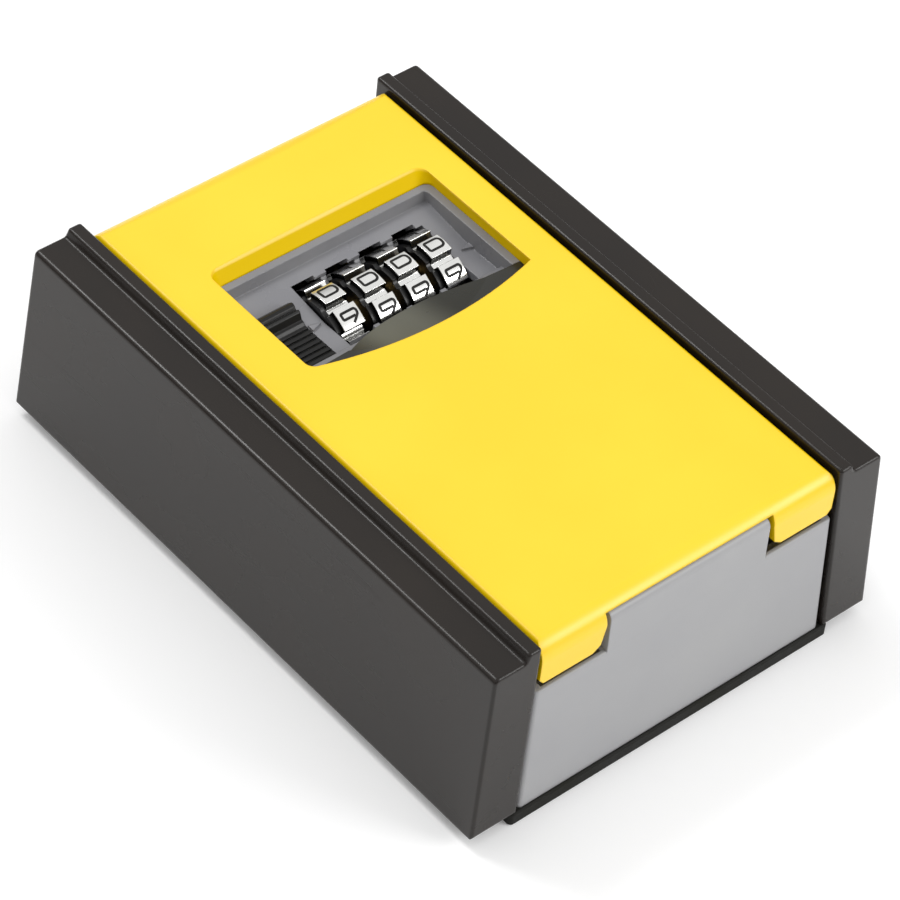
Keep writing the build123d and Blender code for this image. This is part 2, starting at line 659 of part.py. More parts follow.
# =====================================================================================
# Dials
# =====================================================================================
def around_dial(radius, angles):
    """Places on the dial's circle, with each place's X axis pointing outwards."""
    return [
        Location((radius * cos(radians(a)), radius * sin(radians(a)), 0), (0, 0, a))
        for a in angles
    ]


def make_dial(number, x, lean):
    """One dial: black wheel, chromed number ring and the code sleeve inside."""
    step = 360 / DIGITS
    zero_angle = 90 + lean
    plate_angles = [zero_angle + step * k for k in range(DIGITS)]
    valley_angles = [angle + step / 2 for angle in plate_angles]
    ring_width = RING_X[1] - RING_X[0]
    side = Plane((x, DIAL_Y, DIAL_Z), x_dir=(0, 1, 0), z_dir=(1, 0, 0))

    with BuildPart() as wheel:
        with BuildSketch(side.offset(-DIAL_HALF_WIDTH)):
            Circle(FLANGE_R)
            with Locations(*around_dial(FLANGE_R + 0.7, valley_angles)):
                Circle(1.3, mode=Mode.SUBTRACT)
            Circle(SLEEVE_R + 0.05, mode=Mode.SUBTRACT)
        extrude(amount=DIAL_HALF_WIDTH + RING_X[0])
        with BuildSketch(side.offset(RING_X[0])):
            Circle(RING_BORE_R - 0.05)
            Circle(SLEEVE_R + 0.05, mode=Mode.SUBTRACT)
        extrude(amount=ring_width)
    save(wheel.part, f"dial_wheel_{number}")

    with BuildPart() as ring:
        with BuildSketch(side.offset(RING_X[0])):
            Circle(VALLEY_R)
            with Locations(*around_dial(PLATE_R, plate_angles)):
                Rectangle(2 * (PLATE_R - RING_BORE_R), 2 * PLATE_HALF_LENGTH)
            Circle(PLATE_R, mode=Mode.INTERSECT)
            Circle(RING_BORE_R, mode=Mode.SUBTRACT)
        extrude(amount=ring_width)
    save(ring.part, f"number_ring_{number}")

    with BuildPart() as sleeve:
        with BuildSketch(side.offset(GATE_DISC_X[0])):
            Circle(GATE_DISC_R)
            gate = (GATE_BOTTOM + GATE_DISC_R + 1) / 2
            with Locations((gate, 0), (-gate, 0)):
                Rectangle(GATE_DISC_R + 1 - GATE_BOTTOM, 2.6, mode=Mode.SUBTRACT)
        extrude(amount=GATE_DISC_X[1] - GATE_DISC_X[0])
        with BuildSketch(side.offset(GATE_DISC_X[1])):
            Circle(SLEEVE_R)
        extrude(amount=DIAL_HALF_WIDTH - GATE_DISC_X[1])
        span = (x - DIAL_HALF_WIDTH - 2, x + DIAL_HALF_WIDTH + 1)
        rod_along_x(SPINDLE_R + RUNNING_GAP, span, DIAL_Y, DIAL_Z, mode=Mode.SUBTRACT)
    save(sleeve.part, f"code_sleeve_{number}")


# =====================================================================================
# Opening slide, latch and code lever
# =====================================================================================
def make_opening_slide():
    """Black ribbed thumb slide with a high lip at its far end."""
    rib_pitch = 1.25
    ramp_z = 34.0
    thumb = (
        (SLIDE_Y[0], 31.0),
        (SLIDE_Y[0], 33.9),
        (14.4, ramp_z),
        (23.0, ramp_z),
        (23.5, 34.5),
        (24.0, 34.6),
        (24.6, 35.9),
        (25.0, 36.2),
        (25.4, 35.9),
        (25.7, 35.6),
        (26.1, 36.2),
        (26.6, 36.5),
        (27.1, 36.3),
        (SLIDE_Y[1], 35.4),
        (SLIDE_Y[1], 31.0),
    )
    grooves = [14.6 + rib_pitch * k for k in range(7)]
    with BuildPart() as slide:
        with BuildSketch(Plane.YZ.offset(SLIDE_X[0])):
            Polygon(*thumb, align=None)
            with Locations(*[(y, ramp_z) for y in grooves]):
                Rectangle(0.5, 0.8, mode=Mode.SUBTRACT)
        extrude(amount=SLIDE_X[1] - SLIDE_X[0])
        box_between(SLIDE_BASE_X, SLIDE_BASE_Y, (LATCH_Z[1], 32.0))
        pilot = [(SPRING_X, 24.5), (SPRING_X, 30.0)]
        rod_along_z(1.02, (LATCH_Z[1] - 1, 31.2), pilot, mode=Mode.SUBTRACT)
    save(slide.part, "opening_slide")


def make_latch_plate():
    """Steel latch: tongue for the strike, fence fingers for the gates, spring tab."""
    bend_y = (47.4, 49.0)
    with BuildPart() as latch:
        box_between(LATCH_X, (10.0, bend_y[1]), LATCH_Z)
        box_between(LATCH_X, bend_y, (TONGUE_Z[0], LATCH_Z[1]))
        with BuildSketch(Plane.YZ.offset(LATCH_X[0])):
            Polygon(
                (bend_y[0], TONGUE_Z[0]),
                (bend_y[0], TONGUE_Z[1]),
                (LATCH_TIP_Y - TONGUE_SLANT[0], TONGUE_Z[1]),
                (LATCH_TIP_Y, TONGUE_Z[1] - TONGUE_SLANT[1]),
                (LATCH_TIP_Y, TONGUE_Z[0]),
                align=None,
            )
        extrude(amount=LATCH_X[1] - LATCH_X[0])
        fence_end = DIAL_X[-1] + FINGER_X[1]
        box_between((LATCH_X[1] - 1, fence_end), FENCE_Y, LATCH_Z)
        for x in DIAL_X:
            finger = (x + FINGER_X[0], x + FINGER_X[1])
            box_between(finger, (FINGER_TIP_Y, FENCE_Y[1]), LATCH_Z)
        tab_x = (SPRING_X - 2.2, SPRING_X + 2.2)
        box_between(tab_x, (SPRING_Y[1], SPRING_Y[1] + 1.4), (19.6, LATCH_Z[1]))
        screws = [(SPRING_X, 24.5), (SPRING_X, 30.0)]
        rod_along_z(1.1, (LATCH_Z[0] - 1, LATCH_Z[1] + 1), screws, mode=Mode.SUBTRACT)
    save(latch.part, "latch_plate")

    with BuildPart() as fasteners:
        rod_along_z(1.9, (LATCH_Z[0] - 1.4, LATCH_Z[0]), screws)
        rod_along_z(1.0, (LATCH_Z[0], 31.0), screws)
    save(fasteners.part, "slide_screws")


def make_return_spring():
    """Coil spring that pushes the latch back towards the strike."""
    length = SPRING_Y[1] - SPRING_Y[0] - 2 * SPRING_WIRE_R - 0.1
    start = (SPRING_X, SPRING_Y[0] + SPRING_WIRE_R + 0.05, SPRING_Z)
    with BuildPart() as spring:
        with BuildLine() as path:
            Helix(length / 8, length, SPRING_COIL_R, center=start, direction=(0, 1, 0))
        with BuildSketch(Plane(path.line @ 0, z_dir=path.line % 0)):
            Circle(SPRING_WIRE_R)
        sweep()
    save(spring.part, "return_spring")


def make_code_lever():
    """Small lever on the key side that frees the sleeves to set a new code."""
    x, y = LEVER_POINT
    arm = 10.0
    arm_z = (13.4, 15.1)
    with BuildPart() as lever:
        with BuildSketch(Plane.XY.offset(arm_z[0])):
            with Locations((x + arm / 2, y)):
                SlotCenterToCenter(arm, 4.4)
        extrude(amount=arm_z[1] - arm_z[0])
        rod_along_z(LEVER_R, (arm_z[0], 20.0), [LEVER_POINT])
    save(lever.part, "code_lever")


make_body_shell()
make_side_rail(-1, "left_side_rail")
make_side_rail(1, "right_side_rail")
make_rail_screws()
make_back_pad()
make_hinge_pin()
make_door_cover()
make_dial_bezel()
make_window_scoop()
make_lock_frame()
make_lock_back_plate()
make_lock_fasteners()
make_spindle()
for index, (dial_x, rest) in enumerate(zip(DIAL_X, DIAL_REST)):
    make_dial(index + 1, dial_x, rest)
make_opening_slide()
make_latch_plate()
make_return_spring()
make_code_lever()
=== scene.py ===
import json
import math

import bpy
from mathutils import Matrix, Vector


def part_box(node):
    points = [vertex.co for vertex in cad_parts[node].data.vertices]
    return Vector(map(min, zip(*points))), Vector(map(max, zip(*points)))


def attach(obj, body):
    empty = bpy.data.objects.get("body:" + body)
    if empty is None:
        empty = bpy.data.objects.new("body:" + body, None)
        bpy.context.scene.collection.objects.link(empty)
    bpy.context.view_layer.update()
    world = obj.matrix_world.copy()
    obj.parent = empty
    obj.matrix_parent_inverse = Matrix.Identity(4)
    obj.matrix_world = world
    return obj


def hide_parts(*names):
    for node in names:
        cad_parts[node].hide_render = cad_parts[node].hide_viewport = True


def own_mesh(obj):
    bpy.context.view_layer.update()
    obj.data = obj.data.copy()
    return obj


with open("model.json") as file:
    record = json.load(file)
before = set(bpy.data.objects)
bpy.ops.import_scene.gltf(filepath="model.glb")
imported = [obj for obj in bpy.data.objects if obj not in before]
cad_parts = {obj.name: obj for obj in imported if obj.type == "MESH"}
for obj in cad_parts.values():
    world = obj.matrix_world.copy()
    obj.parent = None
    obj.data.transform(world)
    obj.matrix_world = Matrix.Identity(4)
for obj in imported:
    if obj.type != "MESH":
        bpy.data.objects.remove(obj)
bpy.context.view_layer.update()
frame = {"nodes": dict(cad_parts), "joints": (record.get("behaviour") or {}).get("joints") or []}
nodes = frame["nodes"]
MM = 0.001

# ---- the dials and the window -------------------------------------------------------------
DIAL_CENTRES = [Vector(joint["pos_m"]) for joint in frame["joints"]
                if joint["name"].startswith("dial_")]
DIAL_LEAN = [-7.5, 2.6, 2.6, 2.6]  # degrees from the top to each dial's 0, towards the hinge
PLATE_RADIUS = 9.5 * MM
PLATE_CENTRE_X = 0.265 * MM  # from the dial's own centre
PLATE_EDGE = (9.38 * MM, 9.3 * MM)  # radii where the painted shade below a plate's bright edge starts, and is full
VALLEY_WALL = (8.0 * MM, 8.15 * MM)  # radii where a valley's floor ends, and its wall's painted shade is full
# how dark the painted shade on a valley wall is
WALL_SHADE = 0.86
RING_SIDE = (0.6, 0.8)  # how much a face looks along X, where the painted shade on the ring's side begins, and is full
DISH_MIDDLE_X = -2.0 * MM
DISH_PAINTED_SHEEN = (3.0 * MM, 11.5 * MM)  # from the middle, where the painted sheen starts to fade to painted shade, and is gone
# Inside this box the yellow door's window walls get painted shade and lose most of their gloss.
WINDOW_SHADE_BOX = (Vector((-23.6, 4.0, 30.0)) * MM, Vector((25.6, 38.8, 39.4)) * MM)
HOLLOW_BORDER = 0.15 * MM  # how softly the painted shade in the window box begins

# ---- what the finishes share --------------------------------------------------------------
NOISE_RANGE = (0.3, 0.7)
TINT_TO_BASE = (0.35, 0.68)  # noise values that are all tint, and all base colour
OPEN_TO_DEEP = (0.95, 0.68)  # share of light (ambient occlusion) that reaches an open face, with no painted shade, and a deep hollow, with full painted shade
HOLLOW_GLOSS = 0.05  # the share of its gloss that a deep hollow keeps
LEAST_ROUGHNESS = 0.02
SCRATCH_SHAPE = (1.0, 0.08, 1.0)  # squeezes the noise's Y, so that its spots become lines
SCRATCH_NOISE = (0.62, 0.74)  # noise values where a scratch begins, and is full


# ---- shader nodes -------------------------------------------------------------------------
def srgb(r, g, b):
    """A colour given as 0 to 255 display values, turned into linear light."""
    def linear(v):
        v /= 255
        return v / 12.92 if v <= 0.04045 else ((v + 0.055) / 1.055) ** 2.4
    return (linear(r), linear(g), linear(b), 1.0)


class Graph:
    """The shader nodes of a material or a world, with short ways to add and join them."""

    def __init__(self, tree):
        self.tree = tree
        self.place = self.add("TexCoord").outputs

    def put(self, value, target):
        """Links a socket to the target, or sets the target to a number, vector or colour."""
        if isinstance(value, bpy.types.NodeSocket):
            self.tree.links.new(value, target)
        else:
            target.default_value = value

    def add(self, kind, **values):
        """A new node. Each value goes to the input of its name, such as From_Min."""
        node = self.tree.nodes.new("ShaderNode" + kind)
        for name, value in values.items():
            self.put(value, node.inputs[name.replace("_", " ")])
        return node

    def operate(self, kind, operation, terms):
        """The outputs of a new node that does one operation on the terms."""
        node = self.add(kind)
        node.operation = operation
        for term, target in zip(terms, node.inputs):
            self.put(term, target)
        return node.outputs

    def maths(self, operation, *terms):
        return self.operate("Math", operation, terms)["Value"]

    def vector(self, operation, *terms):
        return self.operate("VectorMath", operation, terms)["Vector"]

    def length(self, vector):
        return self.operate("VectorMath", "LENGTH", [vector])["Value"]

    def axes(self, vector):
        """The vector's three numbers, by the names X, Y and Z."""
        return self.add("SeparateXYZ", Vector=vector).outputs

    def fade(self, value, start, end, low=0.0, high=1.0, smooth=False):
        """Goes from low to high as the value goes from start to end."""
        node = self.add("MapRange", Value=value, From_Min=start, From_Max=end, To_Min=low, To_Max=high)
        if smooth:
            node.interpolation_type = "SMOOTHSTEP"
        return node.outputs["Result"]

    def mix(self, factor, first, second):
        """The first colour where the factor is 0, and the second where it is 1."""
        node = self.add("Mix")
        node.data_type = "RGBA"
        for name, value in (("Factor", factor), ("A", first), ("B", second)):
            self.put(value, node.inputs[name])
        return node.outputs["Result"]

    def mapped(self, scale):
        """Places on the object, stretched or squeezed along its axes."""
        return self.add("Mapping", Vector=self.place["Object"], Scale=scale).outputs["Vector"]

    def noise(self, vector, scale, detail, distortion=0.0):
        """A smooth random pattern whose values lie mostly within NOISE_RANGE."""
        node = self.add("TexNoise", Vector=vector, Scale=scale, Detail=detail, Distortion=distortion)
        return node.outputs["Fac"]


def two_tones(graph, tones, base, tint):
    """The base colour, mottled with the tint."""
    ramp = graph.add("ValToRGB", Fac=tones)
    for stop, position, colour in zip(ramp.color_ramp.elements, TINT_TO_BASE, (tint, base)):
        stop.position = position
        stop.color = colour
    return ramp.outputs["Color"]


def painted_hollow_shade(graph, reach_mm):
    """The painted shade mask from ambient occlusion: 1 deep in a recess, 0 on open faces."""
    occlusion = graph.add("AmbientOcclusion", Distance=reach_mm * MM)
    occlusion.samples = 8
    return graph.fade(occlusion.outputs["AO"], *OPEN_TO_DEEP)


def inside_box(graph, low, high):
    """1 inside the box and 0 outside, with a soft border."""
    from_middle = graph.vector("SUBTRACT", graph.place["Object"], (low + high) / 2)
    distance = graph.vector("ABSOLUTE", from_middle)
    x, y, z = graph.axes(graph.vector("SUBTRACT", distance, (high - low) / 2))
    beyond = graph.maths("MAXIMUM", graph.maths("MAXIMUM", x, y), z)
    return graph.fade(beyond, HOLLOW_BORDER, -HOLLOW_BORDER)


def scratch_lines(graph, strength):
    """Fine lines along Y, 0 between them and up to the strength on them."""
    lines = graph.noise(graph.mapped(SCRATCH_SHAPE), scale=240.0, detail=6.0, distortion=1.5)
    return graph.fade(lines, *SCRATCH_NOISE, high=strength)


def relief(graph, grain, bump, bump_mm, edge_mm):
    """The surface direction, with softened edges and a fine grain."""
    edge = graph.add("Bevel", Radius=edge_mm * MM)
    edge.samples = 6
    grained = graph.add("Bump", Strength=bump, Distance=bump_mm * MM, Height=grain,
                        Normal=edge.outputs["Normal"])
    return grained.outputs["Normal"]


# ---- materials ----------------------------------------------------------------------------
def finish_material(name, base, tint, roughness, *, metallic=0.0, mottle=60.0, grain=1800.0,
                    bump=0.03, bump_mm=0.02, rough_spread=0.06, coat=0.0, coat_rough=0.1,
                    specular=0.5, scratches=0.0, stretch=(1, 1, 1), edge_mm=0.25,
                    shade_colour=None, shade_reach_mm=4.0, shade_box=None):
    """A procedural finish: two tones, fine grain, uneven gloss, and softened edges.

    Where a shade colour is given, it is painted shade: recesses within the given reach, found by
    ambient occlusion, take it, and so does all that lies between the low and high corners of the given
    box. There the surface hardly shines.
    """
    material = bpy.data.materials.new(name)
    material.use_nodes = True
    graph = Graph(material.node_tree)
    shader = graph.tree.nodes["Principled BSDF"]
    shader.inputs["Metallic"].default_value = metallic
    shader.inputs["Specular IOR Level"].default_value = specular
    shader.inputs["Coat Weight"].default_value = coat
    shader.inputs["Coat Roughness"].default_value = coat_rough

    surface = graph.mapped(stretch)
    tones = graph.noise(surface, mottle, detail=4.0)
    colour = two_tones(graph, tones, base, tint)
    # Painted shade: a deeper colour, with less gloss, in recesses found by ambient occlusion and
    # inside the given box.
    if shade_colour:
        painted_shade = painted_hollow_shade(graph, shade_reach_mm)
        if shade_box:
            painted_shade = graph.maths("MAXIMUM", painted_shade, inside_box(graph, *shade_box))
        colour = graph.mix(painted_shade, colour, shade_colour)
        for gloss, value in (("Specular IOR Level", specular), ("Coat Weight", coat)):
            faded = graph.fade(painted_shade, 0.0, 1.0, value, HOLLOW_GLOSS * value)
            graph.put(faded, shader.inputs[gloss])
    graph.put(colour, shader.inputs["Base Color"])

    smoothest = max(LEAST_ROUGHNESS, roughness - rough_spread)
    rough = graph.fade(tones, *NOISE_RANGE, smoothest, roughness + rough_spread)
    if scratches:
        rough = graph.maths("ADD", rough, scratch_lines(graph, scratches))
    graph.put(rough, shader.inputs["Roughness"])

    fine = graph.noise(surface, grain, detail=3.0)
    graph.put(relief(graph, fine, bump, bump_mm, edge_mm), shader.inputs["Normal"])
    return material


def blend_to(graph, factor, colour):
    """Mixes a finish's colour towards another one by a factor from 0 to 1."""
    target = graph.tree.nodes["Principled BSDF"].inputs["Base Color"]
    graph.put(graph.mix(factor, target.links[0].from_socket, colour), target)


def dish_with_painted_sheen(name):
    """Dark plastic with a painted grey sheen in the middle of the dish, fading to painted shade at its
    ends.
    """
    material = finish_material(name, srgb(95, 95, 84), srgb(88, 88, 78), 0.28, mottle=90,
                               grain=2800, bump=0.3, bump_mm=0.01, edge_mm=0.15)
    graph = Graph(material.node_tree)
    x = graph.axes(graph.place["Object"])["X"]
    from_middle = graph.maths("ABSOLUTE", graph.maths("SUBTRACT", x, DISH_MIDDLE_X))
    # painted shade towards the dish's ends, over the painted sheen of the grey base
    blend_to(graph, graph.fade(from_middle, *DISH_PAINTED_SHEEN, smooth=True), srgb(36, 36, 29))
    return material


def ring_with_painted_shade(name):
    """Bright chrome with painted shade: its sides and valley walls are painted near-black where shade
    and dark reflections fall.
    """
    material = finish_material(name, srgb(242, 242, 240), srgb(234, 234, 231), 0.16, metallic=1.0,
                               mottle=200, grain=1500, bump=0.15, bump_mm=0.006,
                               rough_spread=0.04, edge_mm=0.14)
    graph = Graph(material.node_tree)
    from_centre = graph.vector("SUBTRACT", graph.place["Object"], DIAL_CENTRES[0])
    radius = graph.length(graph.vector("MULTIPLY", from_centre, (0, 1, 1)))
    below_edge = graph.fade(radius, *PLATE_EDGE)
    wall_shade = graph.fade(radius, *VALLEY_WALL, high=WALL_SHADE)
    facing_x = graph.maths("ABSOLUTE", graph.axes(graph.place["Normal"])["X"])
    # painted shade on the ring's sides, which face along X
    sides = graph.fade(facing_x, *RING_SIDE)
    painted_recess_shade = graph.maths("MULTIPLY", below_edge, graph.maths("MAXIMUM", wall_shade, sides))
    # the painted shade is near-black
    blend_to(graph, painted_recess_shade, srgb(22, 22, 23))
    return material


# The door's painted shade is a deeper yellow in its recesses and across the window's walls.
YELLOW = finish_material("yellow_coat", srgb(250, 209, 40), srgb(248, 205, 34), 0.34,
                         mottle=35, grain=1400, bump=0.5, bump_mm=0.02, coat=0.04,
                         coat_rough=0.2, edge_mm=0.4, shade_colour=srgb(224, 188, 3), shade_reach_mm=5.0,
                         shade_box=WINDOW_SHADE_BOX)
GREY = finish_material("grey_cast", srgb(160, 160, 161), srgb(154, 154, 156), 0.4,
                       mottle=50, grain=2200, bump=0.5, bump_mm=0.02, edge_mm=0.35)
BEZEL = finish_material("bezel_grey", srgb(130, 130, 133), srgb(122, 122, 126), 0.3,
                        mottle=90, grain=2600, bump=0.5, bump_mm=0.015, edge_mm=0.3)
RAIL = finish_material("black_rail", srgb(33, 27, 22), srgb(28, 23, 19), 0.26,
                       mottle=45, grain=2400, bump=0.5, bump_mm=0.018, scratches=0.12,
                       specular=0.22, coat=0.2, coat_rough=0.16, edge_mm=0.6)
RUBBER = finish_material("rubber", srgb(26, 26, 20), srgb(17, 17, 13), 0.7, specular=0.25,
                         mottle=120, grain=2600, bump=0.9, bump_mm=0.05, rough_spread=0.1)
SCOOP = dish_with_painted_sheen("scoop_black")
SLIDE = finish_material("slide_black", srgb(17, 17, 16), srgb(13, 13, 12), 0.32, specular=0.32,
                        mottle=120, grain=2600, bump=0.5, bump_mm=0.015, edge_mm=0.2)
WHEEL = finish_material("wheel_black", srgb(14, 14, 15), srgb(9, 9, 10), 0.36,
                        mottle=150, grain=3000, bump=0.4, bump_mm=0.01, edge_mm=0.15)
PLASTIC = finish_material("black_plastic", srgb(45, 45, 45), srgb(38, 38, 38), 0.5,
                          mottle=80, grain=2200, bump=0.7, bump_mm=0.03)
CHROME = ring_with_painted_shade("chrome")
STEEL = finish_material("steel", srgb(200, 200, 202), srgb(188, 188, 192), 0.3, metallic=1.0,
                        mottle=70, grain=900, bump=0.3, bump_mm=0.01, stretch=(1, 0.15, 1))
SCREW = finish_material("zinc_screw", srgb(196, 196, 192), srgb(180, 181, 180), 0.28, metallic=1.0,
                        mottle=300, grain=2400, bump=0.3, bump_mm=0.01)
SPRING = finish_material("spring_steel", srgb(170, 170, 172), srgb(150, 150, 154), 0.25,
                         metallic=1.0, mottle=300, grain=2400, bump=0.2, bump_mm=0.01,
                         edge_mm=0.05)
BRASS = finish_material("brass", srgb(214, 180, 108), srgb(200, 164, 92), 0.28, metallic=1.0,
                        mottle=200, grain=2000, bump=0.3, bump_mm=0.01)
INK = finish_material("number_ink", srgb(20, 20, 18), srgb(14, 14, 13), 0.45, specular=0.3,
                      mottle=400, grain=3000, bump=0.3, bump_mm=0.01, edge_mm=0.02)

FINISHES = {
    "body_shell": GREY, "left_side_rail": RAIL, "right_side_rail": RAIL, "rail_screws": SCREW,
    "back_pad": RUBBER, "hinge_pin": STEEL, "door_cover": YELLOW, "dial_bezel": BEZEL,
    "window_scoop": SCOOP, "bezel_screws": SCREW, "lock_frame": PLASTIC,
    "lock_back_plate": STEEL, "back_plate_screws": SCREW, "dial_spindle": STEEL,
    "spindle_clip": SPRING, "detent_spring": SPRING, "return_spring": SPRING,
    "opening_slide": SLIDE, "latch_plate": STEEL, "slide_screws": SCREW, "code_lever": PLASTIC,
}
for number in range(1, len(DIAL_CENTRES) + 1):
    FINISHES[f"dial_wheel_{number}"] = WHEEL
    FINISHES[f"number_ring_{number}"] = CHROME
    FINISHES[f"code_sleeve_{number}"] = BRASS
for name, finish in FINISHES.items():
    mesh = nodes[name].data
    mesh.materials.clear()
    mesh.materials.append(finish)


# ---- numbers on the dials -----------------------------------------------------------------
# The figures' lines are in millimetres from the middle of a plate.
LEFT, RIGHT, TOP, MIDDLE, BOTTOM = -1.42, 1.72, 1.05, 0.0, -1.05
BEND_STEPS = 5
POINT_GAP = 0.35
SAME_POINT = 1e-4  # points nearer than this are one
STROKE = 0.5 * MM
STROKE_CORNERS = 4  # of a stroke's section
INK_DEPTH = 0.025 * MM  # above and below the plate's face
TOP_OF_DIAL = 90
TURN_PER_FIGURE = 36
MITRE_LIMIT = 0.6  # keeps the outer corner of a sharp bend short


def bend(x, y, radius, start, turn=90):
    """Points of a rounded corner about (x, y), from the start angle, in degrees."""
    angles = [math.radians(start + turn * k / BEND_STEPS) for k in range(BEND_STEPS + 1)]
    return [(x + radius * math.cos(angle), y + radius * math.sin(angle)) for angle in angles]


def rounded_box(left, right, top, bottom, left_radius, right_radius):
    """A closed outline that starts and ends in the middle of its top stroke."""
    middle = (left + right) / 2
    return [(middle, top),
            *bend(right - right_radius, top - right_radius, right_radius, 90, -90),
            *bend(right - right_radius, bottom + right_radius, right_radius, 0, -90),
            *bend(left + left_radius, bottom + left_radius, left_radius, -90, -90),
            *bend(left + left_radius, top - left_radius, left_radius, 180, -90),
            (middle, top)]


FIGURES = {
    0: [rounded_box(LEFT, RIGHT + 0.1, 1.35, -0.75, 0.32, 0.8)],
    1: [[(-0.4, 0.55), (0.3, TOP), (0.3, BOTTOM)]],
    2: [[(LEFT, 0.75), *bend(-1.1, 0.75, 0.3, 180, -90), *bend(1.2, 0.55, 0.5, 90, -90),
         (LEFT, BOTTOM), (RIGHT, BOTTOM)]],
    3: [[(LEFT, TOP), (RIGHT, TOP), (0.3, 0.2), *bend(1.2, -0.3, 0.5, 90, -90),
         *bend(1.2, -0.55, 0.5, 0, -90), (LEFT, BOTTOM)]],
    4: [[(0.9, BOTTOM), (0.9, TOP), (LEFT, -0.45), (RIGHT, -0.45)]],
    5: [[(RIGHT, TOP), (-1.2, TOP), (-1.3, 0.2), *bend(1.1, -0.4, 0.6, 90, -90),
         *bend(1.2, -0.55, 0.5, 0, -90), (LEFT, BOTTOM)]],
    6: [[(0.3, TOP), (LEFT, 0.0), *bend(-1.0, -0.63, 0.42, 180, 90), *bend(1.3, -0.63, 0.42, -90, 90),
         *bend(1.3, -0.22, 0.42, 0, 90), (-1.25, 0.2)]],
    7: [[(LEFT, TOP), (RIGHT, TOP), (-0.1, BOTTOM)]],
    8: [rounded_box(LEFT, RIGHT, TOP, MIDDLE, 0.35, 0.35),
        rounded_box(LEFT, RIGHT, MIDDLE, BOTTOM, 0.35, 0.35)],
    9: [[(0.25, -1.45), (1.6, -0.25), (RIGHT, 0.1), *bend(1.22, 0.4, 0.5, 0, 90),
         *bend(-1.17, 0.65, 0.25, 90, 90), *bend(-1.17, -0.08, 0.25, 180, 90), (1.15, -0.33)]],
}


def resample(line):
    """The same line with extra points, so that it can wrap around the dial."""
    points = [line[0]]
    for (x0, y0), (x1, y1) in zip(line, line[1:]):
        length = math.hypot(x1 - x0, y1 - y0)
        if length <= SAME_POINT:
            continue
        count = math.ceil(length / POINT_GAP)
        points += [(x0 + (x1 - x0) * k / count, y0 + (y1 - y0) * k / count)
                   for k in range(1, count + 1)]
    return points


def edges_of(line):
    """The two edges of a stroke of constant width along a line, and whether it is closed."""
    points = [Vector(point) * MM for point in resample(line)]
    ways = [(b - a).normalized() for a, b in zip(points, points[1:])]
    closed = (points[0] - points[-1]).length < SAME_POINT * MM
    if closed:
        points.pop()
    left, right = [], []
    for k, point in enumerate(points):
        before = ways[k - 1] if k > 0 or closed else ways[0]
        after = ways[k] if k < len(ways) else ways[-1]
        mean = (before + after).normalized()
        reach = STROKE / 2 / max(MITRE_LIMIT, mean.dot(after))
        across = Vector((-mean.y, mean.x)) * reach
        left.append(point + across)
        right.append(point - across)
    return left, right, closed


def join_rings(first, ring_count, sides, closed):
    """The faces of a tube whose rings of vertices follow one another from the first."""
    faces = []
    for k in range(ring_count if closed else ring_count - 1):
        here = first + sides * k
        there = first + sides * ((k + 1) % ring_count)
        for side in range(sides):
            other = (side + 1) % sides
            faces.append([here + side, here + other, there + other, there + side])
    if not closed:
        last = first + sides * (ring_count - 1)
        faces.append([first + side for side in reversed(range(sides))])
        faces.append([last + side for side in range(sides)])
    return faces


def new_piece(name, vertices, faces, material):
    mesh = bpy.data.meshes.new(name)
    mesh.from_pydata(vertices, [], faces)
    mesh.materials.append(material)
    piece = bpy.data.objects.new(name, mesh)
    bpy.context.collection.objects.link(piece)
    return piece


def make_numbers(number, dial_centre, lean):
    """The ten black figures of one dial, wrapped around its ring."""
    centre = dial_centre + Vector((PLATE_CENTRE_X, 0, 0))
    vertices, faces = [], []

    def on_ring(point, lift, angle):
        turn = angle - point.y / PLATE_RADIUS
        outward = Vector((0, math.cos(turn), math.sin(turn)))
        return tuple(centre + Vector((point.x, 0, 0)) + outward * (PLATE_RADIUS + lift))

    for value, lines in FIGURES.items():
        angle = math.radians(TOP_OF_DIAL + lean - TURN_PER_FIGURE * value)
        for line in lines:
            left, right, closed = edges_of(line)
            faces += join_rings(len(vertices), len(left), STROKE_CORNERS, closed)
            for a, b in zip(left, right):
                vertices += [on_ring(a, INK_DEPTH, angle), on_ring(b, INK_DEPTH, angle),
                             on_ring(b, -INK_DEPTH, angle), on_ring(a, -INK_DEPTH, angle)]
    piece = new_piece(f"numbers_{number}", vertices, faces, INK)
    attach(piece, f"dial_{number}")


for number, (dial_centre, lean) in enumerate(zip(DIAL_CENTRES, DIAL_LEAN), start=1):
    make_numbers(number, dial_centre, lean)


# ---- return spring ------------------------------------------------------------------------
def helix(middle, start_y, end_y, radius, turns, steps):
    """The points of a helix about Y, each with its direction away from the axis."""
    count = turns * steps
    for k in range(count + 1):
        angle = 2 * math.pi * k / steps
        outward = Vector((math.cos(angle), 0, math.sin(angle)))
        y = start_y + (end_y - start_y) * k / count
        yield Vector((middle.x, y, middle.z)) + outward * radius, outward


def make_return_coil():
    """The latch's coil spring, a fixed helix carried with the door."""
    wire = 0.2 * MM  # the wire's radius
    sides = 10  # around the wire
    low, high = (Vector(corner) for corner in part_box("return_spring"))
    middle = (low + high) / 2
    coil_radius = (high.x - low.x) / 2 - wire
    line = list(helix(middle, low.y + wire, high.y - wire, coil_radius, turns=8, steps=24))
    vertices = []
    for centre, outward in line:
        for side in range(sides):
            turn = 2 * math.pi * side / sides
            around = outward * math.cos(turn) + Vector((0, math.sin(turn), 0))
            vertices.append(centre + around * wire)
    coil = new_piece("return_coil", vertices, join_rings(0, len(line), sides, False), SPRING)
    coil.data.polygons.foreach_set("use_smooth", [True] * len(coil.data.polygons))
    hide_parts("return_spring")
    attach(coil, "door")
    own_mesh(coil)


make_return_coil()


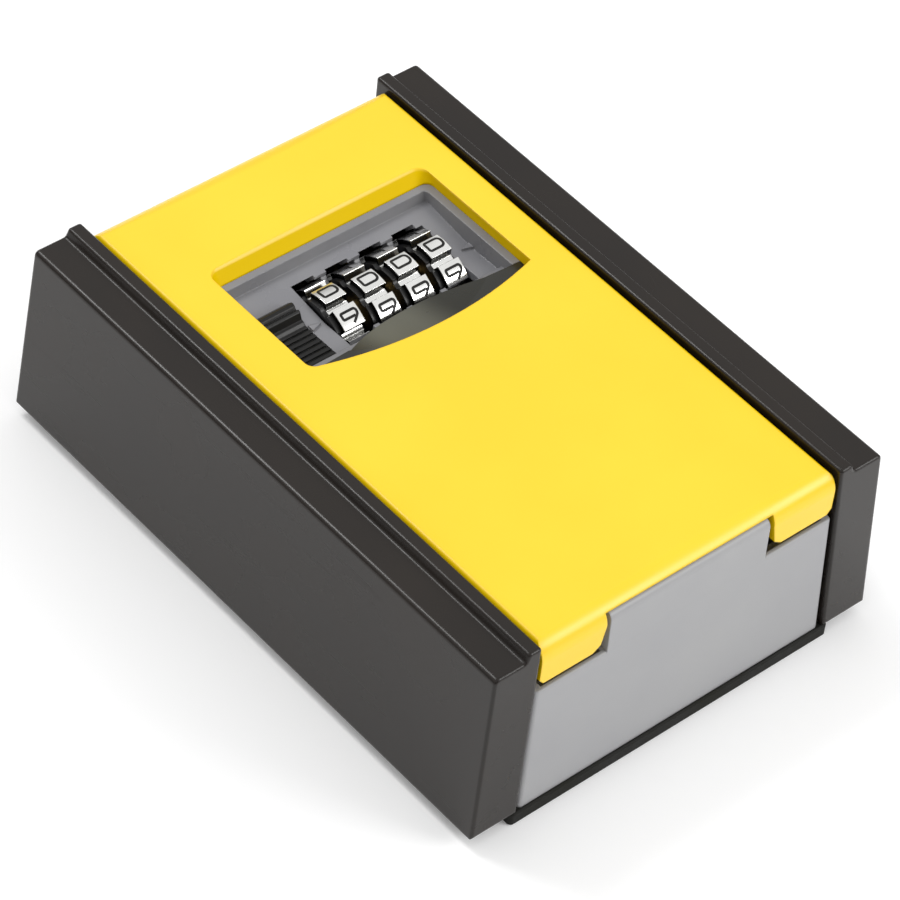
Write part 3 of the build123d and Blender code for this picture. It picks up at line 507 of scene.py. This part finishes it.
# ---- floor, light and camera --------------------------------------------------------------
def make_floor():
    """A pale floor that catches a soft shadow."""
    half = 4.0
    drop = 0.2 * MM  # below the object's lowest point
    pale = bpy.data.materials.new("floor_pale")
    pale.use_nodes = True
    shader = pale.node_tree.nodes["Principled BSDF"]
    shader.inputs["Base Color"].default_value = (0.93, 0.93, 0.93, 1)
    shader.inputs["Roughness"].default_value = 0.9
    shader.inputs["Emission Color"].default_value = (1, 1, 1, 1)
    shader.inputs["Emission Strength"].default_value = 0.1
    corners = [(-half, -half, 0), (half, -half, 0), (half, half, 0), (-half, half, 0)]
    floor = new_piece("floor", corners, [(0, 1, 2, 3)], pale)
    floor.location.z = -drop


def soft_light(name, place, size, power):
    """A rectangular lamp that points at the object, in metres and watts."""
    object_middle = Vector((0, 0, 0.02))
    data = bpy.data.lights.new(name, "AREA")
    data.shape = "RECTANGLE"
    data.size, data.size_y = size
    data.energy = power
    lamp = bpy.data.objects.new(name, data)
    lamp.location = place
    aim = object_middle - Vector(place)
    lamp.rotation_euler = aim.to_track_quat("-Z", "Y").to_euler()
    bpy.context.collection.objects.link(lamp)


def make_studio():
    """Surroundings that are bright overhead and darker towards the horizon."""
    low_and_high = (0.1, 0.75)  # heights where the light starts to grow, and is full
    world = bpy.data.worlds.new("studio")
    world.use_nodes = True
    background = world.node_tree.nodes["Background"]
    background.inputs["Color"].default_value = (1, 1, 1, 1)
    graph = Graph(world.node_tree)
    height = graph.axes(graph.place["Generated"])["Z"]
    glow = graph.fade(height, *low_and_high, low=0.27, high=0.9, smooth=True)
    graph.put(glow, background.inputs["Strength"])
    bpy.context.scene.world = world


def make_camera():
    """The camera, at the photograph's viewing angle."""
    eye = Vector((-382.402, -375.612, 559.163)) * MM
    target = Vector((-2.3516, -4.3633, 20.0)) * MM
    roll = Matrix.Rotation(math.radians(7.263), 4, "Z")
    data = bpy.data.cameras.new("camera")
    data.sensor_width = 36.0
    data.lens = 176.97
    data.clip_start = 0.01
    data.clip_end = 50
    camera = bpy.data.objects.new("camera", data)
    look = (target - eye).to_track_quat("-Z", "Y").to_matrix().to_4x4()
    camera.matrix_world = Matrix.Translation(eye) @ look @ roll
    bpy.context.collection.objects.link(camera)
    bpy.context.scene.camera = camera


make_floor()
soft_light("softbox_far", (-0.15, 0.46, 0.78), (0.25, 0.25), 2.6)
soft_light("softbox_near", (0.454, -0.643, 0.463), (0.45, 0.35), 3.3)
soft_light("softbox_left", (-0.75, 0.0, 0.5), (1.0, 1.0), 0.4)
make_studio()
make_camera()
bpy.context.scene.view_settings.view_transform = "Standard"
